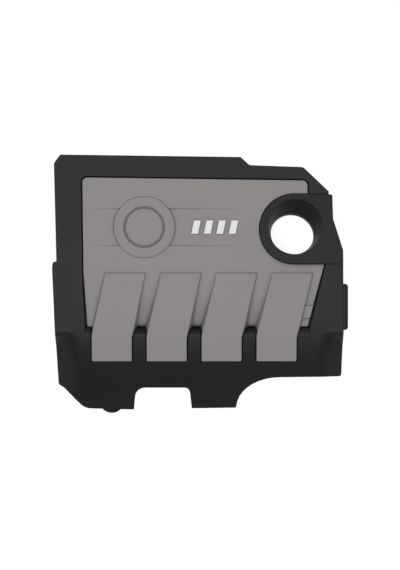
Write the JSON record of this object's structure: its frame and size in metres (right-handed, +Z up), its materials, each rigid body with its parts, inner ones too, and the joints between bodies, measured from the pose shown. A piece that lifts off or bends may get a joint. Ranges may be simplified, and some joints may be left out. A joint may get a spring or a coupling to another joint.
{
  "type": "engine cover",
  "caption": "Moulded engine cover with a clipped grey trim panel whose fingers fold over the front slope, a raised filler collar, a blank round badge and rubber stud bushes.",
  "frame": {"origin": "centre of the outline in plan, on the surface that the cover stands on", "axes": "+X towards the filler collar's side, +Y towards the rear edge, +Z up out of the deck"},
  "size_m": [0.474, 0.4156, 0.0909],
  "materials": {
    "shell": "fine grained, matte black",
    "trim": "satin warm grey paint on plastic",
    "badge": "satin warm grey",
    "bars": "satin silver",
    "foam": "open cell acoustic foam",
    "grommet": "matte rubber"
  },
  "bodies": {
    "root": {"base_shell": "shell", "trim_panel": "trim", "badge_disc": "badge", "badge_bars": "bars", "foam_pad": "foam", "grommet_front_left": "grommet", "grommet_front_right": "grommet", "grommet_rear_left": "grommet", "grommet_rear_right": "grommet"}
  },
  "joints": []
}
